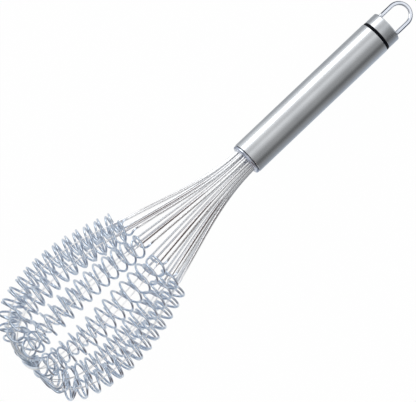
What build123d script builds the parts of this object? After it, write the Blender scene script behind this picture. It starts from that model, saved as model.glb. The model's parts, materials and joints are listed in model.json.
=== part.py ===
from build123d import *
import math
import os

# Spring whisk. It is built standing on its tip with its axis along Z, and laid down at the end.
# Lengths are in millimetres. Heights are measured from the tip, and "out" from the whisk's axis.

# Drawn wire. It has few sides, which keeps the facets of its many turns low.
wire_diameter = 1.2
wire_sides = 3
loop_count = 6
tip_wire_gap = 0.15

# Course of each loop from the handle to the tip
plug_circle_radius = 6.2
plug_face_height = 160.5
mouth_bend_reach = 16.4
neck_out = 23.5
neck_height = 88.0
belly_out = 34.9
belly_height = 39.0

# Coil spring wound round each arm of a loop, with its leg beside the loop's wire.
# The real spring has about 30 half turns on an arm.
coil_radius = 5.9
coil_gap = 0.4
half_turns_first_arm = 6
half_turns_second_arm = 7
coil_end_run = 12.0
leg_mouth_spacing = 1.7
leg_spacing = 3.0
leg_depth = 2.5
leg_bend_run = 4.0
strand_lead_run = 4.0

# Handle tube
tube_diameter = 19.1
tube_wall = 0.7
tube_length = 95.3
fit_clearance = 0.1

# Front plug that guides the wires, and the cast anchor behind it that holds their ends
plug_diameter = 18.6
plug_flange = 1.8
plug_bevel = 1.1
plug_spigot = 10.0
pair_spacing = 1.3
slot_clearance = 0.05
anchor_length = 16.0
wire_end_depth = 12.0

# Gasket and rear cap
gasket_diameter = 18.9
gasket_thickness = 1.7
cap_diameter = 18.6
cap_length = 7.3
cap_bevel = 0.8
cap_spigot = 10.0

# Hanging loop
hanger_wire_diameter = 2.4
hanger_sides = 6
hanger_width = 14.9
hanger_reach = 16.9
hanger_depth = 12.0

# Places worked out from the sizes above
wire_radius = wire_diameter / 2
arm_count = 2 * loop_count
arm_angle = 360 / arm_count
tip_step = wire_diameter + tip_wire_gap
tube_radius = tube_diameter / 2
bore_radius = tube_radius - tube_wall
spigot_radius = bore_radius - fit_clearance
tube_front = plug_face_height + plug_flange
tube_rear = tube_front + tube_length
plug_rear = tube_front + plug_spigot
wire_end_height = plug_rear + wire_end_depth
slot_width = wire_diameter + 2 * slot_clearance
cap_front = tube_rear + gasket_thickness
cap_rear = cap_front + cap_length
hanger_out = (hanger_width - hanger_wire_diameter) / 2
hanger_arch_height = cap_rear + hanger_reach - hanger_width / 2

# Ways in the plane of a loop: X points out from the axis, Y up the whisk and Z sideways
tipward = Vector(0, -1, 0)
inward = Vector(-1, 0, 0)
sideways = Vector(0, 0, 1)

# Places in that plane: where a wire's bend at the plug has its corner, its neck and its belly
mouth_corner = Vector(plug_circle_radius, plug_face_height - mouth_bend_reach, 0)
neck_place = Vector(neck_out, neck_height, 0)
belly_place = Vector(belly_out, belly_height, 0)
run_way = (neck_place - mouth_corner).normalized()
mouth_end = mouth_corner + run_way * mouth_bend_reach

# Share of a half turn over which the coil's way is taken
probe_share = 0.01
# Angle in degrees under which a wire's run counts as straight
straight_angle = 0.01
# Points on a wire's centre line that its clear space and its lowest point are measured on
sample_count = 1500


def biarc_reach(start, start_way, end, end_way):
    """Length of the equal tangents of the two arcs that join two places with given ways."""
    span = end - start
    lean = span.dot(start_way + end_way)
    spread = 2 * (1 - start_way.dot(end_way))
    return (math.sqrt(lean**2 + spread * span.dot(span)) - lean) / spread


def draw_course(stations):
    """Draw a wire's centre line through stations, each a place and the way the wire points there."""
    for (start, start_way), (end, end_way) in zip(stations, stations[1:]):
        if max(start_way.get_angle(end - start), end_way.get_angle(end - start)) < straight_angle:
            Line(tuple(start), tuple(end))
            continue
        reach = biarc_reach(start, start_way, end, end_way)
        first_corner = start + start_way * reach
        last_corner = end - end_way * reach
        joint = (first_corner + last_corner) * 0.5
        TangentArc(tuple(start), tuple(joint), tangent=tuple(start_way))
        TangentArc(tuple(joint), tuple(end), tangent=tuple(last_corner - first_corner))


def other_arm(stations):
    """The same stations on the opposite arm of the loop, met from the tip upwards."""
    return [
        (Vector(-place.X, place.Y, -place.Z), Vector(way.X, -way.Y, way.Z))
        for place, way in reversed(stations)
    ]


def tip_place(level, side):
    """Place of a wire at the tip, where the loops cross one above the other."""
    return Vector(0, wire_radius + level * tip_step, side)


def core_arm_stations():
    """Stations of a loop's wire from its end inside the handle to the belly."""
    return [
        (Vector(plug_circle_radius, wire_end_height, 0), tipward),
        (Vector(plug_circle_radius, plug_face_height, 0), tipward),
        (mouth_end, run_way),
        (neck_place, run_way),
        (belly_place, tipward),
    ]


def leg_stations():
    """Stations of the spring's leg, which runs beside the loop's wire from the anchor to the neck."""
    bend = neck_place - run_way * leg_bend_run
    bend += run_way.cross(sideways) * leg_depth - sideways * leg_spacing
    flare = mouth_end - sideways * leg_mouth_spacing
    leg_way = (bend - flare).normalized()
    return [
        (Vector(plug_circle_radius, wire_end_height, -pair_spacing), tipward),
        (Vector(plug_circle_radius, plug_face_height, -pair_spacing), tipward),
        (flare, leg_way),
        (bend, leg_way),
    ]


def coil_place(arm, run, half_turn):
    """Place of the spring wire after some half turns, at a run along the arm."""
    centre = arm.position_at(run, position_mode=PositionMode.LENGTH)
    outward = sideways.cross(arm.tangent_at(run, position_mode=PositionMode.LENGTH))
    room = centre.X * math.sin(math.radians(arm_angle / 2)) - wire_radius - coil_gap / 2
    radius = min(coil_radius, room)
    turn = math.pi * (1 + half_turn)
    return centre + outward * (radius * math.cos(turn)) - sideways * (radius * math.sin(turn))


def spring_arm_stations(level, half_turns, strand_side):
    """Stations of the spring on one arm: its leg, its coil and the strand that leads to the tip."""
    with BuildLine() as arm_line:
        draw_course([(neck_place, run_way), (belly_place, tipward), (tip_place(level, 0), inward)])
    arm = arm_line.wire()
    coil_run = arm.length - coil_end_run
    stations = leg_stations()
    for count in range(half_turns + 1):
        before = max(count - probe_share, 0)
        after = min(count + probe_share, half_turns)
        place = coil_place(arm, coil_run * count / half_turns, count)
        earlier = coil_place(arm, coil_run * before / half_turns, before)
        later = coil_place(arm, coil_run * after / half_turns, after)
        stations.append((place, (later - earlier).normalized()))
    strand_run = coil_run + strand_lead_run
    strand = arm.position_at(strand_run, position_mode=PositionMode.LENGTH)
    strand_way = arm.tangent_at(strand_run, position_mode=PositionMode.LENGTH)
    stations.append((strand + sideways * strand_side, strand_way))
    return stations


def loop_plane(level):
    """Plane of a loop, with X out from the axis and Y up the whisk."""
    turn = arm_angle * (level + 0.5)
    out_way = Vector(1, 0, 0).rotate(Axis.Z, turn)
    return Plane(origin=(0, 0, 0), x_dir=out_way, z_dir=out_way.cross(Vector(0, 0, 1)))


def course_points(course):
    """Points at even steps along a wire's centre line."""
    return [tuple(course.position_at(count / sample_count)) for count in range(sample_count + 1)]


def least_self_gap(course):
    """Least clear space between a wire and itself, away from the stretch beside each point."""
    points = course_points(course)
    beside = math.ceil(math.pi * wire_diameter * sample_count / course.length)
    least = min(
        math.dist(points[early], points[late])
        for early in range(sample_count + 1)
        for late in range(early + beside, sample_count + 1)
    )
    return least - wire_diameter


pieces = []

# Loop wires and their springs: each is one unbroken wire from the handle over the tip and back
spring_courses = []
for level in range(loop_count):
    with BuildPart() as loop_wire:
        with BuildLine(loop_plane(level)):
            tip = [(tip_place(level, 0), inward)]
            draw_course(core_arm_stations() + tip + other_arm(core_arm_stations()))
        course = loop_wire.pending_edges_as_wire
        with BuildSketch(Plane(origin=course @ 0, z_dir=course % 0)):
            RegularPolygon(radius=wire_radius, side_count=wire_sides)
        sweep(clean=False)
    loop_wire.part.label = f"loop_wire_{level + 1}"
    pieces.append(loop_wire.part)

    with BuildPart() as coil_spring:
        with BuildLine(loop_plane(level)):
            first_arm = spring_arm_stations(level, half_turns_first_arm, tip_step)
            second_arm = spring_arm_stations(level, half_turns_second_arm, -tip_step)
            tip = [(tip_place(level, tip_step), inward)]
            draw_course(first_arm + tip + other_arm(second_arm))
        course = coil_spring.pending_edges_as_wire
        with BuildSketch(Plane(origin=course @ 0, z_dir=course % 0)):
            RegularPolygon(radius=wire_radius, side_count=wire_sides)
        sweep(clean=False)
    coil_spring.part.label = f"coil_spring_{level + 1}"
    pieces.append(coil_spring.part)
    spring_courses.append(course)
    print(f"coil_spring_{level + 1}: least clear space to itself {least_self_gap(course):.2f} mm")

# Handle tube
with BuildPart() as handle_tube:
    with BuildSketch(Plane.XY.offset(tube_front)):
        Circle(tube_radius)
        Circle(bore_radius, mode=Mode.SUBTRACT)
    extrude(amount=tube_length)
handle_tube.part.label = "handle_tube"
pieces.append(handle_tube.part)

# Front plug: a flange on the tube's end and a spigot in its bore, with a slot for each pair of wires
with BuildPart() as front_plug:
    with BuildSketch(Plane.XY.offset(tube_front)):
        Circle(plug_diameter / 2)
    extrude(amount=-plug_flange)
    chamfer(front_plug.edges().filter_by(GeomType.CIRCLE).sort_by(Axis.Z)[0], plug_bevel)
    with BuildSketch(Plane.XY.offset(tube_front)):
        Circle(spigot_radius)
    extrude(amount=plug_spigot)
    with BuildSketch(Plane.XY.offset(plug_rear)):
        with PolarLocations(0, arm_count, start_angle=arm_angle / 2):
            with Locations((plug_circle_radius, pair_spacing / 2)):
                Rectangle(slot_width, slot_width + pair_spacing)
    extrude(amount=plug_face_height - plug_rear, mode=Mode.SUBTRACT)
front_plug.part.label = "front_plug"
pieces.append(front_plug.part)

# Wire anchor: a cast body behind the plug, with a pocket for each pair of wire ends
with BuildPart() as wire_anchor:
    with BuildSketch(Plane.XY.offset(plug_rear)):
        Circle(spigot_radius)
    extrude(amount=anchor_length)
    with BuildSketch(Plane.XY.offset(plug_rear)):
        with PolarLocations(0, arm_count, start_angle=arm_angle / 2):
            with Locations((plug_circle_radius, pair_spacing / 2)):
                Rectangle(slot_width, slot_width + pair_spacing)
    extrude(amount=wire_end_depth + fit_clearance, mode=Mode.SUBTRACT)
wire_anchor.part.label = "wire_anchor"
pieces.append(wire_anchor.part)

# Gasket ring between the tube and the cap
with BuildPart() as gasket_ring:
    with BuildSketch(Plane.XY.offset(tube_rear)):
        Circle(gasket_diameter / 2)
        Circle(bore_radius, mode=Mode.SUBTRACT)
    extrude(amount=gasket_thickness)
gasket_ring.part.label = "gasket_ring"
pieces.append(gasket_ring.part)

# Rear cap with its spigot in the tube, and a hole for each leg of the hanging loop
with BuildPart() as rear_cap:
    with BuildSketch(Plane.XY.offset(cap_front)):
        Circle(cap_diameter / 2)
    extrude(amount=cap_length)
    chamfer(rear_cap.edges().filter_by(GeomType.CIRCLE).sort_by(Axis.Z)[-1], cap_bevel)
    with BuildSketch(Plane.XY.offset(cap_front)):
        Circle(spigot_radius)
    extrude(amount=-(gasket_thickness + cap_spigot))
    with BuildSketch(Plane.XY.offset(cap_rear)):
        with Locations((0, -hanger_out), (0, hanger_out)):
            RegularPolygon(radius=hanger_wire_diameter / 2 + slot_clearance, side_count=hanger_sides)
    extrude(amount=-(hanger_depth + fit_clearance), mode=Mode.SUBTRACT)
rear_cap.part.label = "rear_cap"
pieces.append(rear_cap.part)

# Hanging loop: one bent wire, pressed into the cap
with BuildPart() as hanging_loop:
    with BuildLine(Plane.YZ):
        Line((-hanger_out, cap_rear - hanger_depth), (-hanger_out, hanger_arch_height))
        ThreePointArc(
            (-hanger_out, hanger_arch_height),
            (0, hanger_arch_height + hanger_out),
            (hanger_out, hanger_arch_height),
        )
        Line((hanger_out, hanger_arch_height), (hanger_out, cap_rear - hanger_depth))
    with BuildSketch(Plane.XY.offset(cap_rear - hanger_depth)):
        with Locations((0, -hanger_out)):
            RegularPolygon(radius=hanger_wire_diameter / 2, side_count=hanger_sides)
    sweep()
hanging_loop.part.label = "hanging_loop"
pieces.append(hanging_loop.part)

# The whisk lies on the springs of its two lowest arms and on the rim of its cap, handle towards X
rest_out = cap_diameter / 2
rest_height = cap_rear - cap_bevel
lie_angle = max(
    math.atan2(wire_radius - out - rest_out, rest_height - height)
    for course in spring_courses
    for out, _, height in course_points(course)
)
lying = Plane(
    origin=(0, 0, 0),
    x_dir=(math.sin(lie_angle), 0, math.cos(lie_angle)),
    z_dir=(math.cos(lie_angle), 0, -math.sin(lie_angle)),
)
for piece in pieces:
    piece.move(lying.location)
whole = Compound(pieces).bounding_box()
for piece in pieces:
    piece.move(Location((-whole.center().X, -whole.center().Y, -whole.min.Z)))
print(f"lies at {math.degrees(lie_angle):.2f} degrees, box {whole.size}")

os.makedirs("parts", exist_ok=True)
for piece in pieces:
    export_step(piece, f"parts/{piece.label}.step")
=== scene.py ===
"""Spring whisk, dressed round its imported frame.

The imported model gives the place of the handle, and with it the whisk's own frame: heights in
millimetres run from the tip of the balloon up the axis to the hanging loop, "near" points away
from the floor and "side" across the whisk. Each sub-assembly is made in that frame and laid down
in the row frame in metres.
"""

import json
import logging
import math
import random
from dataclasses import dataclass, field
from enum import Enum

import bpy
import numpy as np
from mathutils import Matrix, Vector


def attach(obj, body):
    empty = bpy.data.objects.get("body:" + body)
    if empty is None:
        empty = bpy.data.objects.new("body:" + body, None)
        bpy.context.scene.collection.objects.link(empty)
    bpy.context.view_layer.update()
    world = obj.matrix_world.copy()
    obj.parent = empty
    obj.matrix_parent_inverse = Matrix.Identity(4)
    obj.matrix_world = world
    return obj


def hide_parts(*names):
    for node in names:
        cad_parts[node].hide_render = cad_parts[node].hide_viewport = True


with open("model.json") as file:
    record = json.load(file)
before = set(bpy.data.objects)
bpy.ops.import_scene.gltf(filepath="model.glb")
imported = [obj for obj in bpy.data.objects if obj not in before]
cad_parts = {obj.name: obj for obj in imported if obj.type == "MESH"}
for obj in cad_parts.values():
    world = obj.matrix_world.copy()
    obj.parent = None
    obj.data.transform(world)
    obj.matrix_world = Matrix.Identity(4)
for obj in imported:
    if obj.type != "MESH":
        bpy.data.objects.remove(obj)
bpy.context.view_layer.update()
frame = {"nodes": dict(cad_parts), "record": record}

LOG = logging.getLogger("spring_whisk")
MILLIMETRE = 0.001
UV_NAME = "surface_mm"
HEIGHT_UV = "height_mm"
SHARP_ANGLE = 38.0
PLUG_FACE = 160.5
AXIS_GAP = 0.001
ARC_STEP = 11.25
WHITE = (1.0, 1.0, 1.0, 1.0)

# A way that no wire starts along, from which the first corner of its section is found.
OBLIQUE_WAY = (0.31, 0.87, 0.38)


class Slot(Enum):
    """Material slots of the record, named for the scene's own pieces."""

    LOOP_WIRE = "loop_wire"
    SPRING_WIRE = "spring_wire"
    HANGER_WIRE = "hanger_wire"
    PLUG = "polished_plug"
    TUBE = "brushed_tube"
    CAP = "brushed_cap"
    GASKET = "gasket"


class Sweep(Enum):
    """Way in which a spring's strand leaves the last turn of its coil."""

    LEFT = -1
    RIGHT = 1


# Frame of the whisk


@dataclass(frozen=True)
class WhiskFrame:
    """The whisk's own frame within the row frame.

    Args:
        tip: Place of the balloon's tip in the row frame, in metres.
        axis: Way from the tip up the whisk.
        near: Way across the whisk that points away from the floor.
        side: The other way across the whisk.
    """

    tip: np.ndarray
    axis: np.ndarray
    near: np.ndarray
    side: np.ndarray

    @classmethod
    def from_record(cls, record: dict, tip_depth: float) -> "WhiskFrame":
        """Work the frame out from the record's mount along the handle.

        Args:
            record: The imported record.
            tip_depth: Distance in millimetres from the mount's middle to the balloon's tip.

        Returns:
            The whisk's frame.
        """
        mount = next(m for m in record["mounts"] if m["name"] == "handle_shaft")
        axis = np.array(mount["axis"], float)
        axis /= np.linalg.norm(axis)
        side = np.array([0.0, -1.0, 0.0])
        near = np.cross(side, axis)
        tip = np.array(mount["pos_m"], float) - axis * tip_depth * MILLIMETRE
        return cls(tip, axis, near, side)

    def place(self, points: np.ndarray) -> np.ndarray:
        """Lay points of the whisk down in the row frame.

        Args:
            points: Rows of near, side and height in millimetres.

        Returns:
            Rows of x, y and z in metres.
        """
        across = np.outer(points[:, 0], self.near) + np.outer(points[:, 1], self.side)
        return self.tip + (across + np.outer(points[:, 2], self.axis)) * MILLIMETRE


# Curves and meshes


def spline_through(guides: np.ndarray, step: float) -> np.ndarray:
    """Draw a natural cubic spline through guide points and walk along it at even steps.

    Args:
        guides: Rows of points that the line goes through.
        step: Distance between the points that are returned, about.

    Returns:
        Rows of points at even steps, from the first guide to the last.
    """
    knots = np.concatenate([[0.0], np.cumsum(np.linalg.norm(np.diff(guides, axis=0), axis=1))])
    gaps = np.diff(knots)[:, None]
    slopes = np.diff(guides, axis=0) / gaps
    count = len(guides)
    system = np.eye(count)
    right = np.zeros_like(guides)
    for row in range(1, count - 1):
        before, after = gaps[row - 1, 0], gaps[row, 0]
        system[row, row - 1 : row + 2] = before, 2 * (before + after), after
        right[row] = 6 * (slopes[row] - slopes[row - 1])
    bends = np.linalg.solve(system, right)
    fine = np.linspace(0, knots[-1], int(knots[-1] / step) * 4 + 2)
    span = np.clip(np.searchsorted(knots, fine, side="right") - 1, 0, count - 2)
    gap = gaps[span]
    ahead = knots[span + 1, None] - fine[:, None]
    behind = fine[:, None] - knots[span, None]
    line = (bends[span] * ahead**3 + bends[span + 1] * behind**3) / (6 * gap)
    line += (guides[span] / gap - bends[span] * gap / 6) * ahead
    line += (guides[span + 1] / gap - bends[span + 1] * gap / 6) * behind
    return walk_evenly(line, step)


def walk_evenly(line: np.ndarray, step: float) -> np.ndarray:
    """Points at even steps along a line of close points.

    Args:
        line: Rows of points, close together.
        step: Distance between the points that are returned, about.

    Returns:
        Rows of points at even steps.
    """
    runs = np.concatenate([[0.0], np.cumsum(np.linalg.norm(np.diff(line, axis=0), axis=1))])
    marks = np.linspace(0, runs[-1], int(round(runs[-1] / step)) + 1)
    return np.column_stack([np.interp(marks, runs, line[:, axis]) for axis in range(line.shape[1])])


def add_object(name: str, data: bpy.types.ID) -> bpy.types.Object:
    """Make an object of a mesh, a lamp or a camera and link it to the scene.

    Args:
        name: The object's name.
        data: Its mesh, lamp or camera.

    Returns:
        The object.
    """
    made = bpy.data.objects.new(name, data)
    bpy.context.scene.collection.objects.link(made)
    return made


def make_mesh(
    name: str, points: np.ndarray, faces: list, uvs: list, whisk: WhiskFrame
) -> bpy.types.Object:
    """Make a smooth mesh piece from points of the whisk.

    Args:
        name: The piece's name.
        points: Rows of near, side and height in millimetres.
        faces: Lists of indices into the points.
        uvs: For each corner of each face, in order, its place on the surface in millimetres.
        whisk: The whisk's frame.

    Returns:
        The mesh object, linked to the scene.
    """
    mesh = bpy.data.meshes.new(name)
    mesh.from_pydata(whisk.place(points).tolist(), [], faces)
    layer = mesh.uv_layers.new(name=UV_NAME)
    layer.data.foreach_set("uv", np.array(uvs, np.float32).ravel())
    heights = points[[corner for face in faces for corner in face], 2]
    layer = mesh.uv_layers.new(name=HEIGHT_UV)
    layer.data.foreach_set("uv", np.column_stack([heights, heights * 0]).astype(np.float32).ravel())
    mesh.polygons.foreach_set("use_smooth", [True] * len(mesh.polygons))
    mesh.set_sharp_from_angle(angle=math.radians(SHARP_ANGLE))
    mesh.validate()
    return add_object(name, mesh)


@dataclass(frozen=True)
class RoundWire:
    """Round wire along a centre line.

    Args:
        diameter: Wire diameter in millimetres.
        sides: Sides of its section.
    """

    diameter: float
    sides: int

    def sweep(
        self, name: str, course: np.ndarray, whisk: WhiskFrame, share: np.ndarray | None = None
    ) -> bpy.types.Object:
        """Sweep the wire's section along a course without twist.

        Args:
            name: The piece's name.
            course: Rows of near, side and height in millimetres.
            whisk: The whisk's frame.
            share: Share of the diameter at each point of the course, or None for all of it.

        Returns:
            The wire as a mesh object with both ends closed.
        """
        ways = np.gradient(course, axis=0)
        ways /= np.linalg.norm(ways, axis=1, keepdims=True)
        turns = np.linspace(0, 2 * math.pi, self.sides, endpoint=False)
        normal = np.cross(ways[0], OBLIQUE_WAY)
        rings = []
        radii = np.full(len(course), self.diameter / 2) * (1.0 if share is None else share)
        for centre, way, radius in zip(course, ways, radii):
            normal = normal - way * normal.dot(way)
            normal /= np.linalg.norm(normal)
            other = np.cross(way, normal)
            ring = np.outer(np.cos(turns), normal) + np.outer(np.sin(turns), other)
            rings.append(centre + ring * radius)
        runs = np.concatenate([[0], np.cumsum(np.linalg.norm(np.diff(course, axis=0), axis=1))])
        faces, uvs = [], []
        width = math.pi * self.diameter / self.sides
        for ring in range(len(course) - 1):
            low, high = ring * self.sides, (ring + 1) * self.sides
            for side in range(self.sides):
                turn = (side + 1) % self.sides
                faces.append([low + side, low + turn, high + turn, high + side])
                left, right = side * width, (side + 1) * width
                uvs += [(left, runs[ring]), (right, runs[ring])]
                uvs += [(right, runs[ring + 1]), (left, runs[ring + 1])]
        last = (len(course) - 1) * self.sides
        faces.append(list(range(self.sides))[::-1])
        faces.append([last + side for side in range(self.sides)])
        uvs += [(0, 0)] * (2 * self.sides)
        return make_mesh(name, np.concatenate(rings), faces, uvs, whisk)


@dataclass(frozen=True)
class Turning:
    """Body turned about the whisk's axis.

    Args:
        outline: Corners of the half section, each its distance from the axis and its height.
        segments: Segments round the axis.
    """

    outline: list
    segments: int = 128

    def turn(self, name: str, whisk: WhiskFrame, closed: bool) -> bpy.types.Object:
        """Turn the outline about the axis.

        Args:
            name: The piece's name.
            whisk: The whisk's frame.
            closed: Whether the outline is a closed ring, or starts and ends on the axis.

        Returns:
            The turned body as a mesh object.
        """
        outline = np.array(self.outline, float)
        count = len(outline)
        turns = np.linspace(0, 2 * math.pi, self.segments, endpoint=False)
        points = np.concatenate(
            [
                np.column_stack([out * np.cos(turns), out * np.sin(turns), turns * 0 + height])
                for out, height in outline
            ]
        )
        runs = np.concatenate([[0], np.cumsum(np.linalg.norm(np.diff(outline, axis=0), axis=1))])
        width = 2 * math.pi * outline[:, 0].max() / self.segments
        faces, uvs = [], []
        for corner in range(count if closed else count - 1):
            after = (corner + 1) % count
            start, end = runs[corner], runs[corner] + np.linalg.norm(outline[after] - outline[corner])
            for turn in range(self.segments):
                ahead = (turn + 1) % self.segments
                low, high = corner * self.segments, after * self.segments
                faces.append([low + turn, low + ahead, high + ahead, high + turn])
                left, right = turn * width, (turn + 1) * width
                uvs += [(left, start), (right, start), (right, end), (left, end)]
        return make_mesh(name, points, faces, uvs, whisk)


def rounded_corner(out: float, height: float, radius: float, start: float, end: float) -> list:
    """Points of an arc in a turning's outline.

    Args:
        out: Distance of the arc's centre from the axis.
        height: Height of the arc's centre.
        radius: Radius of the arc.
        start: First angle in degrees, from the way out towards the way up.
        end: Last angle in degrees.

    Returns:
        Corners of the outline along the arc.
    """
    count = max(3, int(abs(end - start) / ARC_STEP))
    angles = np.radians(np.linspace(start, end, count + 1))
    return [(out + radius * math.cos(a), height + radius * math.sin(a)) for a in angles]


# Finishes


def linear_colour(code: str) -> tuple:
    """Turn an sRGB hex colour to linear red, green, blue and alpha.

    Args:
        code: Six hex digits of the colour.

    Returns:
        The linear colour with its alpha.
    """
    parts = [int(code[at : at + 2], 16) / 255 for at in (0, 2, 4)]
    curve = [p / 12.92 if p <= 0.04045 else ((p + 0.055) / 1.055) ** 2.4 for p in parts]
    return (*curve, 1.0)


def add_node(
    tree: bpy.types.NodeTree, kind: str, settings: dict | None = None, links: dict | None = None
) -> bpy.types.Node:
    """Add a node with its settings and links.

    Args:
        tree: The node tree.
        kind: The node's type, without ShaderNode before it.
        settings: Values by socket name, socket number or the node's own property.
        links: Sockets, or nodes that give their first output, by the name or number of the
            input that each feeds.

    Returns:
        The new node.
    """
    node = tree.nodes.new("ShaderNode" + kind)
    for key, value in (settings or {}).items():
        if isinstance(key, int) or key in node.inputs:
            node.inputs[key].default_value = value
        else:
            setattr(node, key, value)
    for key, source in (links or {}).items():
        socket = source.outputs[0] if isinstance(source, bpy.types.Node) else source
        tree.links.new(socket, node.inputs[key])
    return node


def empty_material(name: str) -> bpy.types.Material:
    """A material with an empty node tree.

    Args:
        name: The material's name.

    Returns:
        The material.
    """
    material = bpy.data.materials.new(name)
    material.use_nodes = True
    material.node_tree.nodes.clear()
    return material


# Detail of the noises in the finishes, and how they are spread over colour and roughness.
MARK_NOISE = {"Scale": 1.0, "Detail": 3.0, "Roughness": 0.6}
CLOUD_NOISE = {"Detail": 4.0, "Roughness": 0.55}
CLOUD_RANGE = {"From Min": 0.38, "From Max": 0.66}
MARK_WEAR, CLOUD_WEAR = 0.6, 0.4
WEAR_RANGE = {"From Min": 0.32, "From Max": 0.68}
PORE_NOISE = {"Detail": 5.0}
PORE_RANGE = {"From Min": 0.35, "From Max": 0.65}


@dataclass(frozen=True)
class SteelFinish:
    """Stainless steel, 18 percent chromium, with the marks of how its surface was made.

    Args:
        name: The material's name.
        pale: sRGB hex colour of the clean metal.
        deep: sRGB hex colour where the surface is a little duller.
        smooth: Least roughness.
        rough: Greatest roughness.
        line_spacing: Spacing in millimetres of the marks, across them.
        line_length: Length in millimetres of the marks.
        line_depth: Depth in millimetres of the marks in the bump.
        cloud_size: Size in millimetres of the duller patches.
        lines_around: Whether the marks run round the piece and not along it.
        stretch: Anisotropy of the highlight.
        straight: sRGB hex colour above straight_start, if any. It serves the straight wires between
        the coils and the plug, the springs' legs, painted paler than their coils as a painted
        reflection, and the plug's groove and slots, painted dark as painted shade.
        straight_rough: Roughness there.
        straight_start: Height in millimetres above the tip at which that part starts.
        straight_ramp: Length in millimetres of the passage to it.
    """

    name: str
    pale: str
    deep: str
    smooth: float
    rough: float
    line_spacing: float
    line_length: float
    line_depth: float
    cloud_size: float
    lines_around: bool = False
    stretch: float = 0.0
    straight: str = ""
    straight_rough: float = 0.1
    straight_start: float = 88.0
    straight_ramp: float = 3.0

    def material(self) -> bpy.types.Material:
        """Build the node material.

        Returns:
            The material.
        """
        made = empty_material(self.name)
        tree = made.node_tree
        surface = add_node(tree, "UVMap", {"uv_map": UV_NAME})
        across, along = 1 / self.line_spacing, 1 / self.line_length
        scale = (along, across, 1) if self.lines_around else (across, along, 1)
        marks_at = add_node(tree, "Mapping", {"Scale": scale}, {"Vector": surface})
        marks = add_node(tree, "TexNoise", MARK_NOISE, {"Vector": marks_at})
        place = add_node(tree, "TexCoord").outputs["Object"]
        cloud_noise = {"Scale": 1 / (self.cloud_size * MILLIMETRE), **CLOUD_NOISE}
        clouds = add_node(tree, "TexNoise", cloud_noise, {"Vector": place})
        cloud_share = add_node(tree, "MapRange", CLOUD_RANGE, {"Value": clouds})
        tones = {"data_type": "RGBA", 6: linear_colour(self.pale), 7: linear_colour(self.deep)}
        colour = add_node(tree, "Mix", tones, {0: cloud_share})
        wear = add_node(tree, "Math", {"operation": "MULTIPLY", 1: MARK_WEAR}, {0: marks})
        cloud_wear = {"operation": "MULTIPLY_ADD", 1: CLOUD_WEAR}
        blend = add_node(tree, "Math", cloud_wear, {0: clouds, 2: wear})
        span = {"To Min": self.smooth, "To Max": self.rough, **WEAR_RANGE}
        roughness = add_node(tree, "MapRange", span, {"Value": blend})
        # Above straight_start the colour and roughness change: the straight wires' own finish, the
        # springs' legs painted paler as a painted reflection, and the plug's groove and slots painted
        # dark as painted shade.
        if self.straight:
            height = add_node(tree, "UVMap", {"uv_map": HEIGHT_UV})
            parts = add_node(tree, "SeparateXYZ", links={"Vector": height})
            start = self.straight_start
            ramp = {"From Min": start - self.straight_ramp, "From Max": start}
            share = add_node(tree, "MapRange", ramp, {"Value": parts})
            tone = {"data_type": "RGBA", 7: linear_colour(self.straight)}
            colour = add_node(tree, "Mix", tone, {0: share, 6: colour.outputs[2]})
            gloss = {"data_type": "FLOAT", 3: self.straight_rough}
            roughness = add_node(tree, "Mix", gloss, {0: share, 2: roughness})
        relief = {"Strength": 1.0, "Distance": self.line_depth * MILLIMETRE}
        bump = add_node(tree, "Bump", relief, {"Height": marks})
        shader = add_node(
            tree,
            "BsdfPrincipled",
            {"Metallic": 1.0, "Anisotropic": self.stretch},
            {"Base Color": colour.outputs[2], "Roughness": roughness, "Normal": bump},
        )
        if self.stretch:
            grain = add_node(tree, "Tangent", {"direction_type": "UV_MAP", "uv_map": UV_NAME})
            tree.links.new(grain.outputs["Tangent"], shader.inputs["Tangent"])
        add_node(tree, "OutputMaterial", links={"Surface": shader})
        return made


@dataclass(frozen=True)
class CastFinish:
    """Moulded or cast polymer with a fine skin texture.

    Args:
        name: The material's name.
        pale: sRGB hex colour of the raised skin.
        deep: sRGB hex colour in the pores.
        smooth: Least roughness.
        rough: Greatest roughness.
        pore_size: Size in millimetres of the pores.
        pore_depth: Depth in millimetres of the pores.
        refraction: Index of refraction.
        gloss_level: Specular level that the pores leave, where a plain skin has 0.5.
    """

    name: str
    pale: str
    deep: str
    smooth: float
    rough: float
    pore_size: float
    pore_depth: float
    refraction: float
    gloss_level: float = 0.5

    def material(self) -> bpy.types.Material:
        """Build the node material.

        Returns:
            The material.
        """
        made = empty_material(self.name)
        tree = made.node_tree
        place = add_node(tree, "TexCoord").outputs["Object"]
        pore_noise = {"Scale": 1 / (self.pore_size * MILLIMETRE), **PORE_NOISE}
        pores = add_node(tree, "TexNoise", pore_noise, {"Vector": place})
        share = add_node(tree, "MapRange", PORE_RANGE, {"Value": pores})
        tones = {"data_type": "RGBA", 6: linear_colour(self.deep), 7: linear_colour(self.pale)}
        colour = add_node(tree, "Mix", tones, {0: share})
        span = {"To Min": self.smooth, "To Max": self.rough}
        roughness = add_node(tree, "MapRange", span, {"Value": share})
        relief = {"Strength": 1.0, "Distance": self.pore_depth * MILLIMETRE}
        bump = add_node(tree, "Bump", relief, {"Height": pores})
        shader = add_node(
            tree,
            "BsdfPrincipled",
            {"IOR": self.refraction, "Specular IOR Level": self.gloss_level},
            {"Base Color": colour.outputs[2], "Roughness": roughness, "Normal": bump},
        )
        add_node(tree, "OutputMaterial", links={"Surface": shader})
        return made


# Hard stainless wire, drawn bright: a near mirror whose fine lines run along the wire.
DRAWN_WIRE = SteelFinish(
    name="drawn_bright_stainless_wire",
    pale="FCFCFC",
    deep="F6F6F6",
    straight="F0F0F2",
    straight_rough=0.08,
    straight_start=79.0,
    smooth=0.40,
    rough=0.50,
    line_spacing=0.18,
    line_length=14.0,
    line_depth=0.002,
    cloud_size=9.0,
)

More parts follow.
